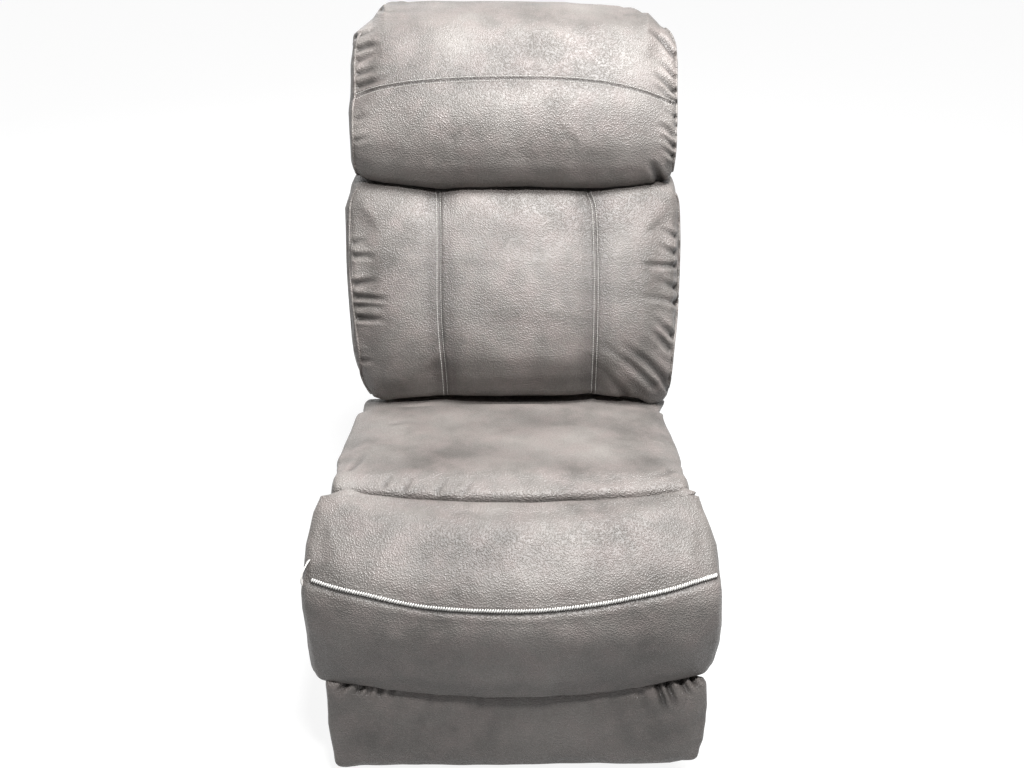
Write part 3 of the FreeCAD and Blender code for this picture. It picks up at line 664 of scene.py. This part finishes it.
LIGHT_TAUPE = (0.208, 0.191, 0.178)
DARK_TAUPE = (0.104, 0.094, 0.086)
suede = upholstery("suede", LIGHT_TAUPE, DARK_TAUPE)
board_suede = upholstery("suede_on_board", LIGHT_TAUPE, DARK_TAUPE, 0.8, False)
thread = yarn("thread", (0.60, 0.58, 0.55))
bright_thread = yarn("bright_thread", (0.88, 0.87, 0.84))
SLOTS = {
    "upholstery": board_suede,
    "wood": timber("planed_timber", (0.62, 0.45, 0.27), (0.47, 0.31, 0.17)),
    "board": timber("plywood", (0.55, 0.39, 0.23), (0.42, 0.28, 0.15), plies=True),
    "black_steel": steel("black_paint", (0.022, 0.022, 0.024), 0.38, 0.0),
    "zinc_steel": steel("zinc_plate", (0.62, 0.62, 0.60), 0.34),
    "spring_steel": steel("spring_wire", (0.20, 0.20, 0.21), 0.36),
    "clip_steel": steel("clip_plate", (0.50, 0.50, 0.48), 0.36),
    "glide": plastic("glide_plastic", (0.03, 0.03, 0.03), 0.5),
    "webbing": yarn("webbing", (0.72, 0.70, 0.67), 900.0),
}
parts = {p["node"]: p for p in frame["record"]["subparts"]}
for node, obj in frame["nodes"].items():
    obj.data.materials.clear()
    obj.data.materials.append(SLOTS[parts[node]["material_slot"]])


def dress(obj, body, look, *stands_for, slot="upholstery", fill=None):
    obj.data.materials.clear()
    obj.data.materials.append(look)
    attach(obj, body)
    if stands_for:
        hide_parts(*stands_for)


# The five cushions are blown up together

def meets_upright(facing):
    """Where a cushion meets the frame behind it, or the cushion above or below."""
    return step_up(0.5, 0.8, np.maximum(np.abs(facing[:, 2]), facing[:, 1]))


def meets_headrest(facing):
    return step_up(0.5, 0.8, np.maximum(-facing[:, 2], facing[:, 1]))


def meets_seat(facing):
    return step_up(0.5, 0.8, np.maximum(-facing[:, 2], np.abs(facing[:, 1])))


def meets_front(facing):
    return step_up(0.5, 0.8, np.maximum(facing[:, 1], -facing[:, 2]))


CLOTH_FRAMES = 20
stuffings = [
    Stuffing("headrest", "headrest_cushion", voxel=5 * MM, inset=7 * MM, limit=9 * MM, meets=meets_headrest),
    Stuffing("back_pillow", "back_cushion", voxel=5 * MM, inset=7 * MM, limit=9 * MM, meets=meets_upright),
    Stuffing("seat_pad", "seat_cushion", voxel=5.5 * MM, inset=6 * MM, limit=7 * MM, meets=meets_seat),
    Stuffing("rolled_front", "front_bolster", voxel=5 * MM, inset=7 * MM, limit=9 * MM, meets=meets_front),
    Stuffing("footrest_panel", "footrest_pad", voxel=4.5 * MM, inset=5 * MM, limit=6 * MM, meets=meets_front),
]
for number in range(1, CLOTH_FRAMES + 1):
    bpy.context.scene.frame_set(number)
headrest, back, seat, bolster, footrest = (piece.finished() for piece in stuffings)
bpy.context.scene.frame_set(1)


def turn_ends_back(mesh, half, start, back):
    """The front falls away further towards both ends, as it does on a stuffed pillow."""
    places = points(mesh)
    across = np.abs(places[:, 0] - MIDDLE) / half
    share = np.clip((across - start) / (1 - start), 0, 1.1) ** 2
    facing = step_up(-0.1, 0.5, -normals(mesh)[:, 1])
    places[:, 1] += back * share * facing
    move_to(mesh, places)


CREASE_AT = -0.3015
CREASE_HALF = 0.300
CREASE_REACH = 0.095
CREASE_BACK = 0.026
CREASE_RISE = 0.013


def bow_crease(mesh):
    """The crease between seat and rolled front runs further back, and higher, at its two ends."""
    places = points(mesh)
    across = ((places[:, 0] - MIDDLE) / CREASE_HALF) ** 2
    share = across * np.exp(-((places[:, 1] - CREASE_AT) / CREASE_REACH) ** 2)
    share *= step_up(0.39, 0.46, places[:, 2])
    places[:, 1] += CREASE_BACK * share
    places[:, 2] += CREASE_RISE * share
    move_to(mesh, places)


turn_ends_back(headrest.data, half=0.295, start=0.45, back=14 * MM)
turn_ends_back(back.data, half=0.291, start=0.42, back=14 * MM)
turn_ends_back(bolster.data, half=0.306, start=0.70, back=10 * MM)
bow_crease(seat.data)
bow_crease(bolster.data)
HEADREST_OUTLINE = [
    (1, 382, 560), (4, 377, 605), (10, 371, 640), (16, 366, 656), (24, 360, 668), (32, 354, 672),
    (48, 352, 677), (64, 350, 678), (96, 350, 677), (112, 348, 677), (128, 349, 676), (144, 350, 677),
    (160, 351, 675), (168, 352, 674)]
fit_outline(headrest.data, HEADREST_OUTLINE)
BACK_OUTLINE = [
    (192, 350, 676), (208, 345, 680), (240, 346, 680), (272, 347, 678), (304, 349, 677), (336, 351, 676),
    (352, 353, 674), (368, 356, 671), (380, 359, 670)]
fit_outline(back.data, BACK_OUTLINE)
SEAT_OUTLINE = [
    (398, 368, 666), (416, 357, 663), (432, 350, 670), (448, 342, 677), (464, 336, 683), (476, 333, 688)]
fit_outline(seat.data, SEAT_OUTLINE)
BOLSTER_OUTLINE = [
    (484, 329, 694), (496, 321, 699), (512, 314, 704), (528, 310, 711), (544, 306, 717), (560, 304, 719),
    (576, 302, 721), (592, 301, 722), (608, 302, 722), (624, 305, 722), (640, 307, 720), (656, 310, 715),
    (664, 313, 711)]
fit_outline(bolster.data, BOLSTER_OUTLINE)
FOOTREST_OUTLINE = [
    (680, 326, 706), (704, 327, 707), (720, 328, 706), (736, 331, 703), (744, 333, 700)]
fit_outline(footrest.data, FOOTREST_OUTLINE)

HEADREST_BOTTOM = [
    (360, 179), (380, 183), (410, 187), (440, 189), (470, 188), (530, 187), (575, 188), (605, 188),
    (635, 186), (662, 182)]
fit_edge(headrest.data, HEADREST_BOTTOM, reach=70)
HEADREST_TOP = [
    (372, 10), (384, 3), (395, 1), (560, 1), (600, 4), (620, 6), (640, 9), (655, 15), (668, 26)]
fit_edge(headrest.data, HEADREST_TOP, reach=40, upper=True)
BACK_BOTTOM = [
    (362, 388), (372, 396), (384, 400), (398, 399), (425, 397), (470, 396), (590, 395), (620, 397),
    (636, 400), (650, 404), (662, 403)]
fit_edge(back.data, BACK_BOTTOM, reach=60)
BOLSTER_BOTTOM = [
    (330, 683), (364, 686), (400, 691), (440, 695), (480, 697), (540, 697), (580, 695), (616, 691),
    (650, 686), (690, 679)]
fit_edge(bolster.data, BOLSTER_BOTTOM, reach=80)
FOOTREST_BOTTOM = [
    (346, 767), (364, 766), (400, 765), (500, 765), (600, 763), (670, 763), (688, 761)]
fit_edge(footrest.data, FOOTREST_BOTTOM, reach=60)


# Headrest

form = Sculpt(headrest)
HEADREST_SEAM = [(354, 97), (380, 88), (430, 81), (515, 78), (590, 81), (640, 91), (675, 104)]
form.channel(HEADREST_SEAM, 2.5 * MM, 16 * MM)
form.seam(HEADREST_SEAM, 2.4 * MM, 2.6 * MM)
HEADREST_FOLDS = [
    ([(354, 37), (364, 33), (376, 30)], 5, 4.5),
    ([(356, 50), (367, 46), (381, 44)], 6, 4.5),
    ([(356, 61), (364, 58), (374, 55)], 5, 4.0),
    ([(356, 74), (365, 71), (375, 68)], 5, 4.0),
    ([(356, 87), (368, 83), (388, 76)], 6, 4.5),
    ([(356, 93), (364, 91), (377, 87)], 3, 3.0),
    ([(355, 120), (362, 117), (370, 115)], 2, 4.0),
    ([(355, 141), (362, 139), (372, 137)], 2, 4.0),
    ([(378, 9), (386, 11), (397, 12)], 4, 4.0),
    ([(675, 57), (664, 42), (648, 29)], 8, 5.5),
    ([(675, 78), (668, 69), (659, 61)], 6, 4.0),
    ([(675, 93), (665, 82), (653, 72)], 6, 4.5),
    ([(674, 102), (666, 93), (656, 85)], 5, 4.0),
    ([(674, 136), (667, 129), (657, 123)], 4, 4.0),
    ([(675, 148), (668, 141), (660, 135)], 4, 4.0),
    ([(674, 157), (668, 152), (661, 146)], 4, 3.5),
    ([(661, 183), (656, 172), (650, 160)], 8, 5.5),
    ([(676, 118), (670, 113), (664, 110)], 3, 3.5),
]
form.folds(HEADREST_FOLDS)
form.ripple(0.8 * MM, 90 * MM, seed=5)
form.done()
dress(headrest, "back", suede, "headrest_cushion", fill=0.75)
on_headrest = Surface(headrest.data)
rows = []
for offset in (2.2, -2.2):
    rows += stitches(on_headrest, HEADREST_SEAM, offset, pitch=3.4 * MM, length=2.5 * MM, radius=0.45 * MM)
headrest_thread = joined_tubes("headrest_stitching", rows)
dress(headrest_thread, "back", thread)
HEADREST_LEFT = [
    (362, 31), (357, 42), (355, 60), (355, 80), (355, 96), (353, 110), (353, 140), (354, 160), (357, 176)]
HEADREST_RIGHT = [(668, 27), (674, 40), (676, 62), (676, 90), (676, 120), (675, 150), (672, 172)]
headrest_welts = joined_tubes("headrest_piping", [
    piping(on_headrest, HEADREST_LEFT, 2.2 * MM), piping(on_headrest, HEADREST_RIGHT, 2.2 * MM)])
dress(headrest_welts, "back", suede)


# Back cushion
form = Sculpt(back)
BACK_SEAM_LEFT = [(438, 190), (439, 230), (439, 300), (441, 340), (444, 370), (446, 398)]
BACK_SEAM_RIGHT = [(588, 190), (594, 210), (596, 260), (596, 310), (595, 350), (593, 398)]
for line in (BACK_SEAM_LEFT, BACK_SEAM_RIGHT):
    form.channel(line, 4 * MM, 22 * MM)
    form.seam(line, 3.4 * MM, 2.8 * MM)
BACK_FOLDS = [
    ([(352, 243), (360, 241), (367, 240)], 3, 4.0),
    ([(353, 256), (364, 256), (376, 257)], 4, 4.0),
    ([(354, 284), (366, 282), (379, 279)], 5, 4.5),
    ([(355, 297), (370, 298), (388, 300)], 6, 4.0),
    ([(356, 306), (370, 306), (385, 308)], 4, 3.5),
    ([(357, 318), (370, 319), (386, 320)], 6, 4.0),
    ([(361, 361), (367, 361), (374, 361)], 3, 4.0),
    ([(677, 237), (669, 232), (659, 228)], 4, 4.0),
    ([(676, 253), (668, 249), (658, 244)], 5, 4.5),
    ([(676, 266), (660, 265), (641, 264)], 5, 4.0),
    ([(676, 288), (668, 284), (657, 279)], 5, 4.5),
    ([(676, 303), (662, 299), (643, 295)], 5, 4.5),
    ([(674, 337), (665, 328), (653, 319)], 6, 5.0),
    ([(671, 351), (661, 339), (648, 325)], 5, 5.0),
    ([(667, 382), (645, 361), (619, 343)], 6, 6.0),
    ([(656, 387), (629, 363), (600, 343)], 4, 6.0),
    ([(626, 396), (612, 380), (598, 366)], 3, 6.0),
    ([(668, 390), (662, 380), (659, 372)], 5, 4.0),
]
form.folds(BACK_FOLDS)
form.ripple(0.8 * MM, 80 * MM, seed=9)
form.done()
dress(back, "back", suede, "back_cushion", fill=0.7)
on_back = Surface(back.data)
rows = []
for line in (BACK_SEAM_LEFT, BACK_SEAM_RIGHT):
    for offset in (-2.0, 2.0):
        rows += stitches(on_back, line, offset, pitch=3.6 * MM, length=2.6 * MM, radius=0.6 * MM)
back_thread = joined_tubes("back_stitching", rows)
dress(back_thread, "back", thread)
BACK_LEFT = [(357, 189), (351, 203), (350, 240), (351, 280), (355, 320), (359, 350), (362, 378), (369, 396)]
BACK_RIGHT = [(675, 193), (678, 205), (679, 240), (678, 280), (676, 320), (673, 350), (670, 378), (668, 388)]
back_welts = joined_tubes("back_piping", [
    piping(on_back, BACK_LEFT, 2.2 * MM), piping(on_back, BACK_RIGHT, 2.2 * MM)])
dress(back_welts, "back", suede)


# Seat
form = Sculpt(seat)
SEAT_FOLDS = [
    ([(384, 486), (387, 480), (391, 474)], 2.5, 4.0),
    ([(403, 490), (408, 483), (412, 476)], 2.5, 4.0),
    ([(436, 492), (442, 485), (447, 477)], 2.5, 4.0),
    ([(462, 494), (468, 487), (473, 480)], 2.0, 4.0),
    ([(350, 470), (358, 462), (366, 452)], 3.0, 5.0),
    ([(392, 424), (406, 422), (420, 424)], 1.5, 6.0),
    ([(672, 470), (662, 474), (640, 478)], 2.0, 5.0),
]
form.folds(SEAT_FOLDS)
form.ripple(1.2 * MM, 110 * MM, seed=3)
form.done()
dress(seat, "seat_carriage", suede, "seat_cushion", fill=0.6)


# Rolled front
form = Sculpt(bolster)
BOLSTER_SEAM = [
    (309, 583), (330, 590), (359, 597), (428, 611), (517, 615), (591, 609), (663, 595), (700, 584),
    (719, 578)]
form.channel(BOLSTER_SEAM, 2.0 * MM, 14 * MM)
form.seam(BOLSTER_SEAM, 3.2 * MM, 2.8 * MM, puff=0.35, count=140)
form.ripple(0.9 * MM, 90 * MM, seed=11)
form.done()
dress(bolster, "seat_carriage", suede, "front_bolster", fill=0.75)
on_bolster = Surface(bolster.data)
rows = stitches(on_bolster, BOLSTER_SEAM, -3.4, pitch=3.8 * MM, length=7.4 * MM, radius=1.45 * MM,
                slant=math.radians(66))
bolster_thread = joined_tubes("front_stitching", rows)
dress(bolster_thread, "seat_carriage", bright_thread)


# Footrest panel
form = Sculpt(footrest)
FOOTREST_FOLDS = [
    ([(349, 681), (343, 687), (336, 694)], 9, 4.0),
    ([(366, 683), (360, 689), (354, 696)], 7.5, 3.6),
    ([(372, 683), (369, 690), (366, 698)], 6, 3.6),
    ([(382, 684), (380, 691), (378, 699)], 6, 3.6),
    ([(393, 686), (392, 692), (391, 700)], 4.5, 3.6),
    ([(657, 682), (661, 694), (667, 712)], 9, 4.0),
    ([(665, 681), (671, 694), (677, 708)], 9, 4.0),
    ([(679, 678), (685, 687), (691, 697)], 9, 4.0),
    ([(689, 676), (694, 682), (700, 690)], 7.5, 3.6),
    ([(423, 717), (418, 730), (411, 748)], 1.4, 9.0),
    ([(494, 717), (492, 736), (488, 760)], 1.6, 9.0),
    ([(454, 729), (456, 742), (458, 758)], 1.2, 8.0),
    ([(616, 703), (625, 728), (640, 758)], 1.5, 10.0),
    ([(480, 692), (481, 700), (483, 708)], 2.0, 4.5),
    ([(432, 690), (430, 700), (427, 712)], 1.6, 5.0),
    ([(640, 690), (646, 704), (654, 722)], 2.4, 5.0),
]
form.folds(FOOTREST_FOLDS)
form.ripple(0.8 * MM, 80 * MM, seed=21)
form.done()
dress(footrest, "footrest", suede, "footrest_pad", fill=0.5)


# Cloth-covered boards

BACK_LEAN = math.radians(19.0)


def covered(name, node, body, voxel, seed, swell, taller=0.0):
    """A board under cloth: softened edges, a little unevenness, and the cloth drawn up at the top."""
    obj = link(name, frame["nodes"][node].data.copy())
    obj.data.materials.clear()
    remesh(obj, voxel)
    relax(obj.data, 3)
    subdivide(obj)
    smooth_shading(obj)
    shape = Sculpt(obj)
    shape.ripple(swell, 120 * MM, seed)
    shape.push = -np.abs(shape.push)
    shape.done()
    if taller:
        places = points(obj.data)
        top = places[:, 2].max()
        share = step_up(top - 0.12, top - 0.01, places[:, 2])
        places += share[:, None] * taller * np.array([0.0, math.sin(BACK_LEAN), math.cos(BACK_LEAN)])
        move_to(obj.data, places)
    dress(obj, body, suede, node, fill=0.2)


covered("outside_back_cover", "outside_back", "back", voxel=6 * MM, seed=31, swell=1.0 * MM, taller=14 * MM)
covered("back_side_covers", "back_side_pads", "back", voxel=5 * MM, seed=32, swell=0.5 * MM)
covered("rear_apron_cover", "rear_apron", "base", voxel=5 * MM, seed=33, swell=0.5 * MM)
covered("end_panel_cover_left", "end_panel_left", "base", voxel=6 * MM, seed=34, swell=0.7 * MM)
covered("end_panel_cover_right", "end_panel_right", "base", voxel=6 * MM, seed=35, swell=0.7 * MM)


# Pull strap

RIBBON_SIDES = 20
RIBBON_FLATNESS = 0.35
RIBBON_ROUNDNESS = 0.8


def ribbon(name, line, wide, width, thick):
    """A flat strap with rounded edges along the line; wide is the direction of its width."""
    line = np.array(line)
    ahead = np.gradient(line, axis=0)
    ahead /= np.linalg.norm(ahead, axis=1)[:, None]
    wide = np.array(wide, float)
    corners = []
    section = []
    for k in range(RIBBON_SIDES):
        angle = 2 * math.pi * k / RIBBON_SIDES
        c, s = math.cos(angle), math.sin(angle)
        across = math.copysign(abs(c) ** RIBBON_FLATNESS, c) * width / 2
        up = math.copysign(abs(s) ** RIBBON_ROUNDNESS, s) * thick / 2
        section.append((across, up))
    for place, direction in zip(line, ahead):
        out = np.cross(direction, wide)
        for across, up in section:
            corners.append(place + wide * across + out * up)
    return build(name, corners, ring_faces(len(line), RIBBON_SIDES))


STRAP_LOW = 0.362
STRAP_HIGH = 0.414
STRAP_TIP_Y = -0.402
STRAP_ROOT_Y = -0.368
STRAP_SUNK = 18 * MM
STRAP_BEND = 0.6
middle_z = (STRAP_LOW + STRAP_HIGH) / 2
side, _, _, _ = on_bolster.tree.ray_cast(Vector((-1, STRAP_ROOT_Y, middle_z)), Vector((1, 0, 0)))
strap_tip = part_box("pull_strap")[0].x - 2 * MM
strap_line = []
for t in np.linspace(-0.5, 0.5, 40):
    out = max(math.cos(math.pi * t), 0) ** STRAP_BEND
    root = side.x + STRAP_SUNK
    strap_line.append((root + (strap_tip - root) * out, STRAP_ROOT_Y + (STRAP_TIP_Y - STRAP_ROOT_Y) * out,
                       middle_z + (STRAP_HIGH - STRAP_LOW) * t))
strap = ribbon("pull_strap_loop", strap_line, (0, 1, 0), 12 * MM, 2.0 * MM)
dress(strap, "pull_strap", SLOTS["webbing"], "pull_strap", slot="webbing")


# Floor, light and camera

FLOOR_GREY = 0.16
FLOOR_GLOW = 0.89
WORLD_FILL = 0.02


def any_ray(tree, *kinds):
    """1 for rays of the given kinds and 0 for all others."""
    path = tree.nodes.new("ShaderNodeLightPath")
    found = path.outputs[kinds[0]]
    for kind in kinds[1:]:
        either = tree.nodes.new("ShaderNodeMath")
        either.operation = "MAXIMUM"
        tree.links.new(found, either.inputs[0])
        tree.links.new(path.outputs[kind], either.inputs[1])
        found = either.outputs[0]
    return found


bpy.ops.mesh.primitive_plane_add(size=30, location=(0, 4, 0))
floor = bpy.context.object
floor.name = "floor"
made, tree, shader = material("floor_white")
shader.inputs["Base Color"].default_value = (FLOOR_GREY, FLOOR_GREY, FLOOR_GREY, 1)
shader.inputs["Roughness"].default_value = 0.9
strength = tree.nodes.new("ShaderNodeMath")
strength.operation = "MULTIPLY"
strength.inputs[1].default_value = FLOOR_GLOW
tree.links.new(any_ray(tree, "Is Camera Ray", "Is Glossy Ray"), strength.inputs[0])
shader.inputs["Emission Color"].default_value = (1, 1, 1, 1)
tree.links.new(strength.outputs[0], shader.inputs["Emission Strength"])
floor.data.materials.append(made)

world = bpy.data.worlds.new("studio")
bpy.context.scene.world = world
world.use_nodes = True
tree = world.node_tree
background = tree.nodes["Background"]
background.inputs["Color"].default_value = (1, 1, 1, 1)
shown = any_ray(tree, "Is Camera Ray", "Is Glossy Ray", "Is Transmission Ray")
tree.links.new(between(tree, shown, 0.0, 1.0, WORLD_FILL, 1.0), background.inputs["Strength"])


def lamp(name, place, target, size, power):
    data = bpy.data.lights.new(name, "AREA")
    data.shape = "RECTANGLE"
    data.size, data.size_y = size
    data.energy = power
    obj = bpy.data.objects.new(name, data)
    bpy.context.scene.collection.objects.link(obj)
    obj.location = place
    obj.rotation_euler = (Vector(target) - Vector(place)).to_track_quat("-Z", "Y").to_euler()


lamp("key", place=(0.50, -0.42, 2.80), target=(0.0, 0.0, 0.5), size=(0.75, 0.5), power=126)
lamp("front", place=(0.08, -1.58, 3.10), target=(0.0, 0.0, 0.6), size=(0.3, 0.3), power=88)
lamp("rear_fill", place=(-1.2, 2.6, 1.8), target=(0.0, 0.3, 0.6), size=(2.0, 1.5), power=14)

camera_data = bpy.data.cameras.new("camera")
camera_data.sensor_width = SENSOR_WIDTH
camera_data.lens = LENS_PX / PICTURE[0] * SENSOR_WIDTH
camera = bpy.data.objects.new("camera", camera_data)
bpy.context.scene.collection.objects.link(camera)
camera.location = CAMERA
camera.rotation_euler = (math.pi / 2 - PITCH, 0, 0)
bpy.context.scene.camera = camera
bpy.context.scene.view_settings.view_transform = "Standard"
